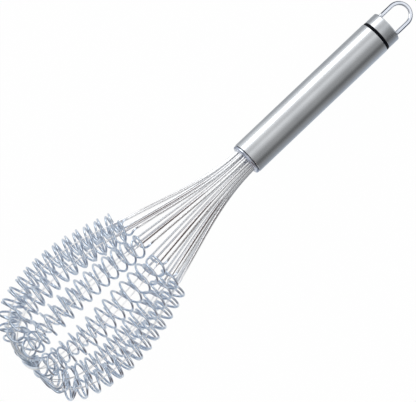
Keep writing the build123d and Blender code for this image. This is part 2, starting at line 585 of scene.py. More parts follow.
# Spring wire, coiled and then tumbled with media: soft grey-blue highlights with small dull spots.
# Tumbling marks are finer than 0.1 mm and are drawn at 0.35 mm, so that they show at all.
TUMBLED_WIRE = SteelFinish(
    name="tumbled_stainless_spring_wire",
    pale="E2EBF6",
    deep="C4D1E2",
    # From straight_start on, the straight legs are painted paler than the coils: a painted reflection
    # on the same wire.
    straight="F8FAFC",
    straight_rough=0.36,
    straight_start=93.0,
    smooth=0.07,
    rough=0.15,
    line_spacing=0.35,
    line_length=1.4,
    line_depth=0.004,
    cloud_size=5.0,
)

# Welded stainless tube, ground between wheels and mopped: a satin face whose lines run round it,
# so that reflections stay crisp across the handle and smear along it. The lines of a fine belt
# are about 0.05 mm apart and are drawn at 0.12 mm.
GROUND_TUBE = SteelFinish(
    name="ground_satin_stainless_tube",
    pale="DDE0E3",
    deep="D2D5D9",
    smooth=0.13,
    rough=0.22,
    line_spacing=0.12,
    line_length=9.0,
    line_depth=0.0006,
    lines_around=True,
    cloud_size=26.0,
    stretch=0.55,
)

# Turned stainless cap, brushed after turning: duller than the tube.
TURNED_CAP = SteelFinish(
    name="turned_satin_stainless_cap",
    pale="D3D6DA",
    deep="C0C4C9",
    smooth=0.18,
    rough=0.28,
    line_spacing=0.12,
    line_length=7.0,
    line_depth=0.0008,
    lines_around=True,
    cloud_size=12.0,
    stretch=0.5,
)

# Turned stainless plug, buffed with compound: a cool mirror with faint swirls. Its groove and
# slots, from the height straight_start on, are drawn dark, for the shade that is in them.
BUFFED_PLUG = SteelFinish(
    name="buffed_stainless_plug",
    pale="CCD2DF",
    deep="B6BECF",
    straight="2A2C31",
    straight_rough=0.4,
    straight_start=162.0,
    straight_ramp=0.08,
    smooth=0.08,
    rough=0.16,
    line_spacing=0.25,
    line_length=6.0,
    line_depth=0.0006,
    lines_around=True,
    cloud_size=7.0,
    stretch=0.2,
)

# Thick hanger wire, bent and polished: bright with a few drawing lines along it.
POLISHED_HANGER = SteelFinish(
    name="polished_stainless_hanger_wire",
    pale="E6E9EE",
    deep="CDD2DA",
    smooth=0.08,
    rough=0.16,
    line_spacing=0.3,
    line_length=11.0,
    line_depth=0.002,
    cloud_size=8.0,
)

# Moulded nitrile rubber, black with a slight bloom and a soft highlight.
MOULDED_RUBBER = CastFinish(
    name="moulded_black_nitrile_rubber",
    pale="070A14",
    deep="030509",
    smooth=0.28,
    rough=0.45,
    pore_size=0.4,
    pore_depth=0.02,
    refraction=1.52,
    gloss_level=0.06,
)

# Epoxy resin cast round the wire ends, grey and slightly glossy with small bubbles.
CAST_RESIN = CastFinish(
    name="cast_grey_epoxy_resin",
    pale="8E9092",
    deep="6E7072",
    smooth=0.25,
    rough=0.5,
    pore_size=0.9,
    pore_depth=0.05,
    refraction=1.55,
)


def dress(
    piece: bpy.types.Object, material: bpy.types.Material, slot: Slot, *nodes: str
) -> None:
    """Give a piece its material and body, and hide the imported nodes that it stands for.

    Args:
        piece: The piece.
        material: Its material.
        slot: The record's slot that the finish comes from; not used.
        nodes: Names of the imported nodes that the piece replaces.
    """
    piece.data.materials.clear()
    piece.data.materials.append(material)
    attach(piece, "root")
    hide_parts(*nodes)
    LOG.info("%s: %d faces, finish %s", piece.name, len(piece.data.polygons), material.name)


# Balloon


@dataclass
class LoopCourse:
    """Course of a loop's wire in its own plane, and ways to place things beside it.

    Args:
        stations: Distance from the axis and height of the wire, from its end in the handle to the
            belly and on towards the tip.
        tip_height: Height of the wire's centre line at the tip.
        step: Step in millimetres between the points of the line.
        reach: Run ahead and behind over which the wire's way is taken.
    """

    stations: list
    tip_height: float
    step: float = 0.6
    reach: float = 0.5
    line: np.ndarray = field(init=False)
    runs: np.ndarray = field(init=False)

    def __post_init__(self) -> None:
        """Draw one arm of the course, down to the tip."""
        arm = [(out, height, 0.0) for out, height in self.stations]
        other = [(-out, height, 0.0) for out, height in reversed(self.stations)]
        guides = np.array(arm + [(0.0, self.tip_height, 0.0)] + other)
        whole = spline_through(guides, self.step / 4)
        half = whole[: len(whole) // 2 + 1]
        self.line = np.column_stack([half[:, 0], half[:, 1]])
        steps = np.linalg.norm(np.diff(self.line, axis=0), axis=1)
        self.runs = np.concatenate([[0], np.cumsum(steps)])

    @property
    def length(self) -> float:
        """Length of the arm."""
        return float(self.runs[-1])

    def run_at_height(self, height: float) -> float:
        """Run at which the wire, on its way from the handle, passes a height."""
        return float(self.runs[np.argmax(self.line[:, 1] <= height)])

    def _at_run(self, runs: np.ndarray) -> np.ndarray:
        """Places on the wire, each its distance from the axis and its height."""
        return np.column_stack([np.interp(runs, self.runs, column) for column in self.line.T])

    def beside(self, runs: np.ndarray, right: np.ndarray, outward: np.ndarray) -> np.ndarray:
        """Places beside the wire, on an arm that points away from the axis along X.

        Args:
            runs: Run along the wire for each place.
            right: Offset across the loop's plane for each place.
            outward: Offset in the loop's plane, away from the inside of the balloon.

        Returns:
            Rows of out, right and height in millimetres.
        """
        centre = self._at_run(runs)
        way = self._at_run(runs + self.reach) - self._at_run(runs - self.reach)
        way /= np.linalg.norm(way, axis=1, keepdims=True)
        out_way = np.column_stack([-way[:, 1], way[:, 0]])
        place = centre + out_way * outward[:, None]
        return np.column_stack([place[:, 0], right, place[:, 1]])


@dataclass
class SpringCourse:
    """Guide points of the spring on one arm of a loop.

    Args:
        course: Course of the loop's wire.
        rng: Source of the small differences between turns.
        leave: Side of the arm on which the strand to the tip lies.
        neck_height: Height at which the coil starts.
        coil_radius: Radius of the coil's centre line.
        turns: Whole turns of the coil.
        tip_run: Run along the arm between the coil's last turn and the axis.
        leg_at_plug: Offset of the leg from the loop's wire inside the plug.
        leg_at_neck: Offset of the leg from the loop's wire at the neck.
        room_share: Half the distance to the next arm, as a share of the distance to the axis.
        wire_room: Part of that distance that the wire itself takes up.
        first_bearing: Bearing in degrees at which the coil starts.
        guide_turn: Turn in degrees between its guide points.
        drift: Greatest shift of a turn along the arm.
        swell: Greatest change of a turn's radius.
        leg_guides: Number of guide points along the leg.
        leg_sink: Offset of the leg towards the inside of the balloon at the neck.
        bend_run: Run before the coil at which the leg's bend starts.
        coil_lead: Run from the coil's start to its first guide point.
        fade_power: Power by which the shift of the turns fades in and out.
        bend_places: Run from the coil's start, offset to the right and offset outward of the
            guide points of the bend between leg and coil.
        strand_places: Run from the coil's end and both offsets of those of the strand.
    """

    course: LoopCourse
    rng: random.Random
    leave: Sweep
    neck_height: float = 88.0
    coil_radius: float = 5.65
    turns: int = 13
    tip_run: float = 22.5
    leg_at_plug: float = 1.22
    leg_at_neck: float = 3.0
    room_share: float = 0.265
    wire_room: float = 0.7
    first_bearing: float = -120.0
    guide_turn: float = 18.0
    drift: float = 0.35
    swell: float = 0.12
    leg_guides: int = 26
    leg_sink: float = 0.3
    bend_run: float = 4.0
    coil_lead: float = 0.9
    fade_power: float = 0.3
    bend_places: tuple = ((-1.6, 3.05, -0.5), (-0.5, 2.6, -2.0), (0.2, 0.9, -4.0))
    strand_places: tuple = (
        (1.4, 4.0, 2.0), (3.6, 2.6, 1.9), (6.8, 1.7, 0.8), (11.0, 1.35, 0.3), (16.0, 1.35, 0.0)
    )

    def guides(self) -> np.ndarray:
        """Guide points from the spring's end in the handle down to the last turn of its coil.

        Returns:
            Rows of out, right and height in millimetres.
        """
        start = self.course.run_at_height(self.neck_height)
        return np.concatenate([self._leg(start), self._coil(start), self._strand()])

    def _leg(self, start: float) -> np.ndarray:
        """Guide points of the leg and its bend behind the loop's wire.

        Args:
            start: Run at which the coil starts.

        Returns:
            Rows of out, right and height.
        """
        runs = np.linspace(0, start - self.bend_run, self.leg_guides)
        inside = self.course.run_at_height(PLUG_FACE)
        share = np.clip((runs - inside) / (start - inside), 0, 1)
        right = self.leg_at_plug + (self.leg_at_neck - self.leg_at_plug) * share
        straight = self.course.beside(runs, right, -self.leg_sink * share)
        bend_runs, bend_right, bend_outward = np.array(self.bend_places).T
        bend = self.course.beside(start + bend_runs, bend_right, bend_outward)
        return np.concatenate([straight, bend])

    def _coil(self, start: float) -> np.ndarray:
        """Guide points of the coil.

        Args:
            start: Run at which the coil starts.

        Returns:
            Rows of out, right and height.
        """
        first = self.first_bearing
        last = -360.0 * self.turns - (180.0 if self.leave is Sweep.LEFT else 360.0)
        count = int((first - last) / self.guide_turn)
        angles = np.linspace(first, last, count + 1)
        end = self.course.length - self.tip_run
        share = (first - angles) / (first - last)
        drift = np.array([self.rng.uniform(-1, 1) for _ in range(self.turns + 3)])
        swell = np.array([self.rng.uniform(-1, 1) for _ in range(self.turns + 3)])
        turn = share * (self.turns + 1)
        marks = np.arange(self.turns + 3)
        runs = start + self.coil_lead + (end - start - self.coil_lead) * share
        fade = np.sin(np.pi * np.clip(share, 0, 1)) ** self.fade_power
        runs += np.interp(turn, marks, drift) * self.drift * fade
        out = np.interp(runs, self.course.runs, self.course.line[:, 0])
        room = out * self.room_share - self.wire_room
        radius = np.minimum(self.coil_radius + np.interp(turn, marks, swell) * self.swell, room)
        bearing = np.radians(angles)
        return self.course.beside(runs, radius * np.cos(bearing), radius * np.sin(bearing))

    def _strand(self) -> np.ndarray:
        """Guide points of the strand from the last turn to the tip.

        Returns:
            Rows of out, right and height.
        """
        end = self.course.length - self.tip_run
        side = float(self.leave.value)
        runs, right, outward = np.array(self.strand_places).T
        return self.course.beside(end + runs, side * right, -side * outward)


@dataclass
class Balloon:
    """Six loops of wire that cross at the tip, each with a spring wound round both arms.

    Args:
        wire_diameter: Diameter of the loops and of the springs.
        loop_count: Number of loops.
        level_step: Distance between the loops' levels at the tip.
        wire_sides: Sides of the wire's section.
        loop_step: Step along a loop's wire.
        spring_step: Step along a spring's wire.
        sag: Sinking of the balloon under its own weight.
        loop_twists: Turn of each loop in degrees from its even place.
        core_share: Share of the diameter that is drawn of a loop's wire inside its springs.
        core_start: Height at which a loop's wire enters its springs.
        core_end: Distance from the axis at which it has left them near the tip.
        core_fade: Run over which the wire gets thin, and thick again.
        tip_zone: Height below which a wire counts as near the tip.
        rise_reach: Distance from the axis within which a loop climbs to its level at the tip.
        rise_power: Power by which it climbs.
        first_seed: Seed of the first spring's random draws.
        sag_top: Height above which the balloon doesn't sink.
        sag_span: Length below it over which it sinks.
        stations: Distance from the axis and height along an arm.
    """

    wire_diameter: float = 1.2
    loop_count: int = 6
    level_step: float = 1.35
    wire_sides: int = 14
    loop_step: float = 1.6
    spring_step: float = 0.8
    sag: float = 0.47
    loop_twists: tuple = (4.0, 1.5, 0.0, 0.0, 0.5, 1.5)
    core_share: float = 0.4
    core_start: float = 82.0
    core_end: float = 17.0
    core_fade: float = 4.0
    tip_zone: float = 40.0
    rise_reach: float = 15.0
    rise_power: float = 1.3
    first_seed: int = 410
    sag_top: float = 150.0
    sag_span: float = 100.0
    stations: tuple = (
        (6.2, 184.3), (6.2, 172.0), (6.3, 160.5), (7.15, 149.0), (9.4, 136.0), (14.2, 118.0),
        (18.9, 103.0), (23.6, 88.0), (28.9, 72.0), (32.6, 56.0), (33.9, 42.0), (33.4, 31.0),
        (31.6, 21.0), (28.2, 13.0), (22.4, 6.7), (14.2, 2.6), (7.0, 0.95),
    )

    def build(self, whisk: WhiskFrame) -> None:
        """Build and dress the loops and springs.

        Args:
            whisk: The whisk's frame.
        """
        wire = RoundWire(self.wire_diameter, self.wire_sides)
        drawn = DRAWN_WIRE.material()
        tumbled = TUMBLED_WIRE.material()
        for level in range(self.loop_count):
            rng = random.Random(self.first_seed + level)
            azimuth = self.azimuth(level)
            course = self._course(level)
            line = self._loop_line(course)
            loop = self._turned(line, azimuth)
            name = f"polished_loop_{level + 1}"
            polished = wire.sweep(name, loop, whisk, self._core_share(line))
            dress(polished, drawn, Slot.LOOP_WIRE, f"loop_wire_{level + 1}")
            spring = self._turned(self._spring_line(course, rng), azimuth)
            coil = wire.sweep(f"open_coil_{level + 1}", spring, whisk)
            dress(coil, tumbled, Slot.SPRING_WIRE, f"coil_spring_{level + 1}")

    def _core_share(self, line: np.ndarray) -> np.ndarray:
        """Share of the wire's diameter along a loop, less where its springs hide it.

        Args:
            line: Rows of out, right and height.

        Returns:
            The share at each row.
        """
        above = np.clip((line[:, 2] - self.core_start) / self.core_fade, 0, 1)
        within = np.clip((self.core_end - np.abs(line[:, 0])) / self.core_fade, 0, 1)
        within *= line[:, 2] < self.tip_zone
        return self.core_share + (1 - self.core_share) * np.maximum(above, within)

    def azimuth(self, level: int) -> float:
        """Turn of a loop's first arm about the axis, in radians."""
        return math.radians(180 / self.loop_count * (level + 0.5) + self.loop_twists[level])

    def slots(self) -> tuple:
        """Turn about the axis of each pair of wires in the plug, in radians."""
        first = [self.azimuth(level) for level in range(self.loop_count)]
        return (*first, *(azimuth + math.pi for azimuth in first))

    def _course(self, level: int) -> LoopCourse:
        """Course of the loop on a level, counted from the outermost.

        Args:
            level: The loop's level.

        Returns:
            The course of its wire.
        """
        rise = level * self.level_step
        stations = []
        for out, height in self.stations:
            share = max(0.0, 1 - out / self.rise_reach) ** self.rise_power
            stations.append((out, height + rise * share * (height < self.tip_zone)))
        return LoopCourse(stations, self.wire_diameter / 2 + rise)

    def _loop_line(self, course: LoopCourse) -> np.ndarray:
        """Centre line of a whole loop, in its own plane.

        Args:
            course: The loop's course.

        Returns:
            Rows of out, right and height.
        """
        down = np.column_stack([course.line[:, 0], course.line[:, 0] * 0, course.line[:, 1]])
        up = down[::-1][1:] * np.array([-1, 1, 1])
        return walk_evenly(np.concatenate([down, up]), self.loop_step)

    def _spring_line(self, course: LoopCourse, rng: random.Random) -> np.ndarray:
        """Centre line of a whole spring, in its loop's frame.

        Args:
            course: The loop's course.
            rng: Source of the small differences between turns.

        Returns:
            Rows of out, right and height.
        """
        first = SpringCourse(course, rng, Sweep.LEFT).guides()
        second = SpringCourse(course, rng, Sweep.RIGHT).guides()
        over = np.array([[0.0, -self.level_step, course.tip_height]])
        back = second[::-1] * np.array([-1, -1, 1])
        return spline_through(np.concatenate([first, over, back]), self.spring_step)

    def _turned(self, line: np.ndarray, azimuth: float) -> np.ndarray:
        """Turn a loop's line about the whisk's axis.

        Args:
            line: Rows of out, right and height.
            azimuth: Turn of the loop in radians, from near towards side.

        Returns:
            Rows of near, side and height.
        """
        cosine, sine = math.cos(azimuth), math.sin(azimuth)
        near = line[:, 0] * cosine - line[:, 1] * sine
        side = line[:, 0] * sine + line[:, 1] * cosine
        share = np.clip((self.sag_top - line[:, 2]) / self.sag_span, 0, 1)
        near -= self.sag * share**2 * (3 - 2 * share)
        return np.column_stack([near, side, line[:, 2]])


# Handle


@dataclass
class Handle:
    """Tube with its plug, gasket, cap and hanging loop.

    Args:
        tube_radius: Outer radius of the tube.
        bore_radius: Inner radius of the tube.
        tube_front: Height of the tube's front end.
        tube_rear: Height of its rear end.
        lip_radius: Rounding of the tube's outer edges.
        plug_radius: Radius of the plug's flange.
        plug_face: Height of the plug's face.
        shoulder_radius: Rounding of the flange.
        face_crown: Distance from the axis and rise of places where the plug's face is proud.
        face_flat: Width of the flat ring between the crown and the rounding.
        spigot_length: Length of the plug and of the cap inside the tube.
        spigot_gap: Gap round them there.
        groove_depth: Depth of the groove between the flange and the tube.
        groove_width: Width of that groove.
        slot_width: Width of the slot that a pair of wires goes through.
        slot_depth: Depth of the slot.
        cut_overrun: Length by which the cutter stands out of the face.
        pair_spacing: Distance between the two wires of a pair.
        slot_azimuths: Turn of each slot about the axis, in radians.
        wire_circle: Distance of the loops' wires from the axis in the plug.
        gasket_radius: Outer radius of the gasket.
        gasket_bulge: Rise of its middle over its edges.
        gasket_bow: Angle in degrees that its round face spans on each side of the middle.
        cap_radius: Radius of the cap.
        cap_front: Height of the cap's front face.
        cap_rear: Height of the cap's rear face.
        cap_lip: Rounding of the cap's front edge.
        cap_rounding: Rounding of its rear edge.
        hanger_diameter: Diameter of the hanging loop's wire.
        hanger_out: Distance of the hanging loop's legs from the axis.
        hanger_arch: Height at which the arch starts.
        hanger_depth: Depth of the legs in the cap.
        hanger_steps: Number of places along a leg and round the arch.
        hanger_sides: Sides of the hanging loop's section.
        fine_segments: Segments round the tube and the plug.
    """

    tube_radius: float = 9.55
    bore_radius: float = 8.85
    tube_front: float = 162.3
    tube_rear: float = 257.6
    lip_radius: float = 0.35
    plug_radius: float = 9.3
    plug_face: float = PLUG_FACE
    shoulder_radius: float = 0.95
    face_crown: tuple = ((AXIS_GAP, 0.05), (4.2, 0.02))
    face_flat: float = 0.8
    spigot_length: float = 10.0
    spigot_gap: float = 0.1
    groove_depth: float = 0.75
    groove_width: float = 0.4
    slot_width: float = 1.7
    slot_depth: float = 4.0
    cut_overrun: float = 1.0
    pair_spacing: float = 1.22
    slot_azimuths: tuple = ()
    wire_circle: float = 6.2
    gasket_radius: float = 9.4
    gasket_bulge: float = 0.3825
    gasket_bow: float = 66.0
    cap_radius: float = 9.3
    cap_front: float = 259.3
    cap_rear: float = 266.6
    cap_lip: float = 0.2
    cap_rounding: float = 0.5
    hanger_diameter: float = 2.4
    hanger_out: float = 6.25
    hanger_arch: float = 275.95
    hanger_depth: float = 11.8
    hanger_steps: tuple = (12, 49)
    hanger_sides: int = 28
    fine_segments: int = 160

    def build(self, whisk: WhiskFrame) -> None:
        """Build and dress the handle's pieces.

        Args:
            whisk: The whisk's frame.
        """
        self._tube(whisk)
        self._plug(whisk)
        self._gasket(whisk)
        self._cap(whisk)
        self._hanger(whisk)

    def _tube(self, whisk: WhiskFrame) -> None:
        """Tube with rolled-over lips at both ends.

        Args:
            whisk: The whisk's frame.
        """
        out = self.tube_radius - self.lip_radius
        outline = [(self.bore_radius, self.tube_front)]
        outline += rounded_corner(out, self.tube_front + self.lip_radius, self.lip_radius, -90, 0)
        outline += rounded_corner(out, self.tube_rear - self.lip_radius, self.lip_radius, 0, 90)
        outline += [(self.bore_radius, self.tube_rear)]
        tube = Turning(outline, self.fine_segments).turn("tube_shell", whisk, closed=True)
        dress(tube, GROUND_TUBE.material(), Slot.TUBE, "handle_tube")

    def _plug(self, whisk: WhiskFrame) -> None:
        """Plug with a rounded flange, a groove at the tube and a slot for each pair of wires.

        Args:
            whisk: The whisk's frame.
        """
        shoulder = self.plug_radius - self.shoulder_radius
        groove = self.tube_front - self.groove_width
        spigot = self.bore_radius - self.spigot_gap
        outline = [(out, self.plug_face - rise) for out, rise in self.face_crown]
        outline.append((shoulder - self.face_flat, self.plug_face))
        rounding = self.shoulder_radius
        outline += rounded_corner(shoulder, self.plug_face + rounding, rounding, -90, 0)
        bottom, rear = self.plug_radius - self.groove_depth, self.tube_front + self.spigot_length
        outline += [(self.plug_radius, groove), (bottom, groove), (bottom, self.tube_front)]
        outline += [(spigot, self.tube_front), (spigot, rear), (AXIS_GAP, rear)]
        plug = Turning(outline, self.fine_segments).turn("plug_body", whisk, closed=False)
        self._cut_slots(plug, whisk)
        dress(plug, BUFFED_PLUG.material(), Slot.PLUG, "front_plug")

    def _cut_slots(self, plug: bpy.types.Object, whisk: WhiskFrame) -> None:
        """Cut a slot with round ends into the plug's face for each pair of wires.

        Args:
            plug: The plug's body.
            whisk: The whisk's frame.
        """
        half = self.slot_width / 2
        arcs = [(self.pair_spacing, angle) for angle in range(-90, 91, 30)]
        arcs += [(0.0, angle) for angle in range(90, 271, 30)]
        section = []
        for at, angle in arcs:
            turn = math.radians(angle)
            section.append((self.wire_circle + half * math.sin(turn), at + half * math.cos(turn)))
        depths = (self.plug_face - self.cut_overrun, self.plug_face + self.slot_depth)
        count = len(section)
        points, faces = [], []
        for azimuth in self.slot_azimuths:
            start = len(points)
            cosine, sine = math.cos(azimuth), math.sin(azimuth)
            for height in depths:
                for out, right in section:
                    near, side = out * cosine - right * sine, out * sine + right * cosine
                    points.append((near, side, height))
            for corner in range(count):
                after = (corner + 1) % count
                low, high = start + corner, start + after
                faces.append([low, high, high + count, low + count])
            faces.append(list(range(start, start + count))[::-1])
            faces.append(list(range(start + count, start + 2 * count)))
        corners = sum(len(face) for face in faces)
        cutter = make_mesh("slot_cutter", np.array(points), faces, [(0.0, 0.0)] * corners, whisk)
        # The cutter's walls become the slots' walls. Their height lies past the plug's straight_start,
        # so the slots are painted dark as painted shade.
        deep = [self.plug_face + self.slot_depth, 0.0] * corners
        cutter.data.uv_layers[HEIGHT_UV].data.foreach_set("uv", deep)
        cut = plug.modifiers.new("slots", "BOOLEAN")
        cut.operation = "DIFFERENCE"
        cut.solver = "EXACT"
        cut.object = cutter
        cut.use_self = True
        shown = plug.evaluated_get(bpy.context.evaluated_depsgraph_get())
        body = bpy.data.meshes.new_from_object(shown)
        body.name = plug.name
        plug.modifiers.clear()
        plug.data = body
        bpy.data.objects.remove(cutter)

    def _gasket(self, whisk: WhiskFrame) -> None:
        """Rubber ring squeezed a little proud between the tube and the cap.

        Args:
            whisk: The whisk's frame.
        """
        bulge = self.gasket_bulge
        middle = (self.tube_rear + self.cap_front) / 2
        half = (self.cap_front - self.tube_rear) / 2
        edge = self.gasket_radius - bulge
        outline = [(self.bore_radius, self.tube_rear), (edge, self.tube_rear)]
        full = math.sin(math.radians(self.gasket_bow))
        for angle in range(-60, 61, 20):
            turn = math.radians(angle)
            out = self.gasket_radius - bulge * (1 - math.cos(turn)) * 2
            outline.append((out, middle + half * math.sin(turn) / full))
        outline += [(edge, self.cap_front), (self.bore_radius, self.cap_front)]
        ring = Turning(outline).turn("gasket_seal", whisk, closed=True)
        dress(ring, MOULDED_RUBBER.material(), Slot.GASKET, "gasket_ring")

    def _cap(self, whisk: WhiskFrame) -> None:
        """Cap with a rounded rear edge and a spigot in the tube.

        Args:
            whisk: The whisk's frame.
        """
        spigot = self.bore_radius - self.spigot_gap
        rounding = self.cap_rounding
        edge = self.cap_radius - rounding
        front = self.tube_rear - self.spigot_length
        outline = [(AXIS_GAP, front), (spigot, front), (spigot, self.cap_front)]
        lip = self.cap_lip
        outline += rounded_corner(self.cap_radius - lip, self.cap_front + lip, lip, -90, 0)
        outline += rounded_corner(edge, self.cap_rear - rounding, rounding, 0, 90)
        outline += [(edge * 0.5, self.cap_rear), (AXIS_GAP, self.cap_rear)]
        cap = Turning(outline).turn("cap_shell", whisk, closed=False)
        dress(cap, TURNED_CAP.material(), Slot.CAP, "rear_cap")

    def _hanger(self, whisk: WhiskFrame) -> None:
        """Bent wire whose legs are pressed into the cap.

        Args:
            whisk: The whisk's frame.
        """
        foot = self.cap_rear - self.hanger_depth
        legs = np.linspace(foot, self.hanger_arch, self.hanger_steps[0])
        turns = np.radians(np.linspace(0, 180, self.hanger_steps[1]))[1:-1]
        left = np.column_stack([legs * 0, legs * 0 - self.hanger_out, legs])
        rise = self.hanger_arch + self.hanger_out * np.sin(turns)
        arch = np.column_stack([turns * 0, -self.hanger_out * np.cos(turns), rise])
        right = left[::-1] * np.array([1, -1, 1])
        line = np.concatenate([left, arch, right])
        hanger = RoundWire(self.hanger_diameter, self.hanger_sides).sweep("hanger_bend", line, whisk)
        dress(hanger, POLISHED_HANGER.material(), Slot.HANGER_WIRE, "hanging_loop")


# Camera and studio


@dataclass(frozen=True)
class PhotoCamera:
    """Long lens from above, at the photograph's angle.

    Args:
        distance: Distance in metres from the point aimed at.
        lens: Focal length in millimetres.
        sensor: Width of the sensor in millimetres.
        clip: Nearest and farthest distance in metres that is drawn.
        tilt: Angle in degrees between the whisk's axis and the image plane.
        roll: Angle in degrees by which the axis climbs in the image.
        aim_height: Height on the axis of the point aimed at.
        aim_side: Offset of that point across the whisk.
    """

    distance: float = 2.080
    lens: float = 337.9
    sensor: float = 36.0
    clip: tuple = (0.05, 200.0)
    tilt: float = 7.86
    roll: float = 43.48
    aim_height: float = 131.0
    aim_side: float = 2.0

    def build(self, whisk: WhiskFrame) -> None:
        """Make the camera and set it as the scene's.

        Args:
            whisk: The whisk's frame.
        """
        tilt, roll = math.radians(self.tilt), math.radians(self.roll)
        along = math.cos(tilt) * whisk.axis + math.sin(tilt) * whisk.near
        right = math.cos(roll) * along + math.sin(roll) * whisk.side
        up = math.sin(roll) * along - math.cos(roll) * whisk.side
        back = np.cross(right, up)
        aim = whisk.place(np.array([[0.0, self.aim_side, self.aim_height]]))[0]
        data = bpy.data.cameras.new("photo_camera")
        data.sensor_width = self.sensor
        data.lens = self.lens
        data.clip_start, data.clip_end = self.clip
        camera = add_object("photo_camera", data)
        columns = [Vector(v) for v in (right, up, back)]
        turn = Matrix(columns).transposed().to_4x4()
        camera.matrix_world = Matrix.Translation(Vector(aim + back * self.distance)) @ turn
        bpy.context.scene.camera = camera


@dataclass(frozen=True)
class Studio:
    """White sheet and sky, a soft box on the left, and cards that the bright metal mirrors.

    A tent of grey card stands over the handle, grey stripes of card lie on the sheet beside it as a
    painted shade of the sheet there, a hood stands over the hanging loop, an open ring round the
    balloon and a brown card on the tent's end. They show in gloss alone, so that they neither hide
    the whisk nor shade it.

    Args:
        sheet_colour: sRGB hex colour of the sheet.
        sheet_half: Half the width of the sheet in metres.
        sheet_shown: Share of plain white in the sheet as the camera sees it.
        sheet_gloss: The same in gloss.
        tent_radius: Radius of the tent in millimetres.
        tent_ends: Heights on the whisk's axis between which the tent stands.
        brown_card: Least and greatest distance from the axis of the brown card that closes the
            tent towards the balloon, and half its width.
        brown_shade: Red, green and blue of the brown card.
        stripe_ends: Ends along x of the stripes of card on the sheet beside the handle.
        stripe_lift: Height of these stripes over the sheet.
        left_stripes: Place across and colour of each stripe's edge on the left.
        right_stripes: The same on the right.
        hood_ends: Heights between which the hood over the hanging loop stands.
        hood_half: Half the hood's width.
        hood_top: Distance of its top from the axis.
        hood_skirt: Distance from the axis at which its dark skirts start.
        hood_foot: Place of their lower edges on the same measure.
        hood_white: Colour of the hood.
        hood_dark: Colour of its skirts.
        ring_place: Place along x of the middle of the open ring of card round the balloon, and
            the height in it from which its edges are seen at their angles.
        ring_radius: Radius of the ring.
        ring_levels: Angle in degrees above the horizon and grey level of each edge of the ring.
        ring_tints: Bearing in degrees from +x and tint of each place along the ring.
        box_power: Power of the soft box in watts.
        box_size: Its width and height in metres.
        box_place: Its middle in the row frame, in metres.
        sky_light: Strength of the sky on matt surfaces.
        tent_shades: Angle in degrees from the zenith, towards side, and grey level of the tent.
    """

    sheet_colour: str = "D8D9DA"
    sheet_half: float = 60.0
    sheet_shown: float = 0.985
    sheet_gloss: float = 0.5
    tent_radius: float = 125.0
    tent_ends: tuple = (150.0, 420.0)
    brown_card: tuple = (38.0, 120.0, 100.0)
    brown_shade: tuple = (0.12, 0.085, 0.075)
    stripe_ends: tuple = (0.0, 150.0)
    stripe_lift: float = 0.4
    left_stripes: tuple = (
        (400.0, (1.0, 1.0, 1.0)), (190.0, (0.94, 0.95, 0.96)), (70.0, (0.70, 0.72, 0.73)),
        (38.0, (0.49, 0.50, 0.52)), (22.0, (0.46, 0.475, 0.49)), (10.0, (0.51, 0.53, 0.55)),
    )
    right_stripes: tuple = (
        (-10.0, (0.62, 0.67, 0.74)), (-22.0, (0.48, 0.52, 0.58)), (-38.0, (0.37, 0.39, 0.42)),
        (-70.0, (0.32, 0.33, 0.35)), (-190.0, (0.29, 0.30, 0.31)), (-400.0, (0.29, 0.30, 0.31)),
    )
    hood_ends: tuple = (272.0, 312.0)
    hood_half: float = 22.0
    hood_top: float = 17.0
    hood_skirt: float = 12.0
    hood_foot: float = -12.0
    hood_white: tuple = (1.0, 1.02, 1.06)
    hood_dark: tuple = (0.03, 0.035, 0.06)
    ring_place: tuple = (-80.0, 35.0)
    ring_radius: float = 200.0
    ring_levels: tuple = ((54.0, 0.95), (46.0, 0.36), (26.0, 0.22), (8.0, 0.25), (-9.0, 0.34))
    ring_tints: tuple = (
        (78.0, (1.0, 1.04, 1.10)), (90.0, (1.0, 1.06, 1.14)), (140.0, (0.98, 1.06, 1.16)),
        (180.0, (0.92, 1.0, 1.1)), (220.0, (0.8, 0.78, 0.8)), (250.0, (0.72, 0.48, 0.42)),
        (282.0, (0.7, 0.42, 0.35)),
    )
    box_power: float = 8.0
    box_size: tuple = (2.4, 0.85)
    box_place: tuple = (0.0, 1.11, 0.46)
    sky_light: float = 0.8
    tent_shades: tuple = (
        (-54, 1.1), (-47, 0.98), (-40, 0.79), (-33, 0.7), (-26, 0.66), (-20, 0.7), (-13, 0.84),
        (-7, 0.9), (0, 0.79), (7, 0.69), (13, 0.6), (20, 0.49), (26, 0.41), (33, 0.38),
        (40, 0.37), (47, 0.34), (54, 0.26), (62, 0.18), (70, 0.146), (78, 0.18), (87, 0.25),
        (96, 0.3),
    )

    def build(self, whisk: WhiskFrame) -> None:
        """Make the sheet, the lamp, the cards and the sky.

        Args:
            whisk: The whisk's frame, along which the cards hang.
        """
        self._sheet()
        self._soft_box()
        self._cards(whisk)
        self._sky()

    def _shown_share(
        self, tree: bpy.types.NodeTree, camera_share: float, gloss_share: float
    ) -> bpy.types.Node:
        """Share of plain white that camera, glossy and transmitted rays see.

        Args:
            tree: The node tree.
            camera_share: Share for camera and transmitted rays.
            gloss_share: Share for glossy rays.

        Returns:
            The node that gives the share.
        """
        rays = add_node(tree, "LightPath").outputs
        either = {0: rays["Is Camera Ray"], 1: rays["Is Transmission Ray"]}
        direct = add_node(tree, "Math", {"operation": "MAXIMUM"}, either)
        shown = {"operation": "MULTIPLY", 1: camera_share}
        direct_share = add_node(tree, "Math", shown, {0: direct})
        mirrored = {"operation": "MULTIPLY", 1: gloss_share}
        gloss = add_node(tree, "Math", mirrored, {0: rays["Is Glossy Ray"]})
        return add_node(tree, "Math", {"operation": "MAXIMUM"}, {0: direct_share, 1: gloss})

